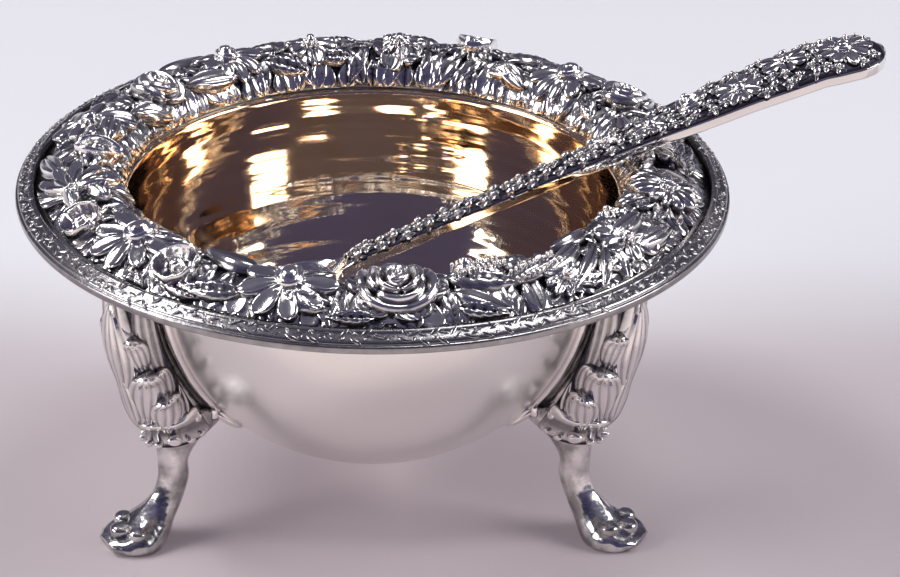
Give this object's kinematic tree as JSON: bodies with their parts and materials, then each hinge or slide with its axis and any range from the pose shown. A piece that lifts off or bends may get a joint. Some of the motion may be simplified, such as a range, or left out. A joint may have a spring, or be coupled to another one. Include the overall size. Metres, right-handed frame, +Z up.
{
  "type": "salt cellar with spoon",
  "caption": "Round footed salt cellar with a flower border in relief, a gold-washed bowl on cabriole legs, and a salt spoon laid across it.",
  "frame": {"origin": "on the bowl's axis, at the plane that the feet stand on", "axes": "+Z up the bowl's axis; -Y is the front, midway between the two front legs; +X is right, where the spoon's handle sticks out"},
  "size_m": [0.0979, 0.08, 0.0514],
  "materials": {
    "silver": "polished sterling silver",
    "oxidised_silver": "chased sterling silver with darkened recesses",
    "gilt": "gold wash with faint spun lines on the inside, polished silver on the outside"
  },
  "bodies": {
    "cellar": {"bowl": "gilt", "flower_border": "oxidised_silver", "edge_band": "oxidised_silver", "leg_front_left": "silver", "leg_front_right": "silver", "leg_back": "silver", "knee_spray_front_left": "oxidised_silver", "knee_spray_front_right": "oxidised_silver", "knee_spray_back": "oxidised_silver"},
    "spoon": {"salt_spoon": "silver"}
  },
  "joints": [
    {"name": "spoon_lift", "type": "slide", "parent": "cellar", "child": "spoon", "axis": [0, 0, 1], "range_m": [0, 0.04]}
  ]
}
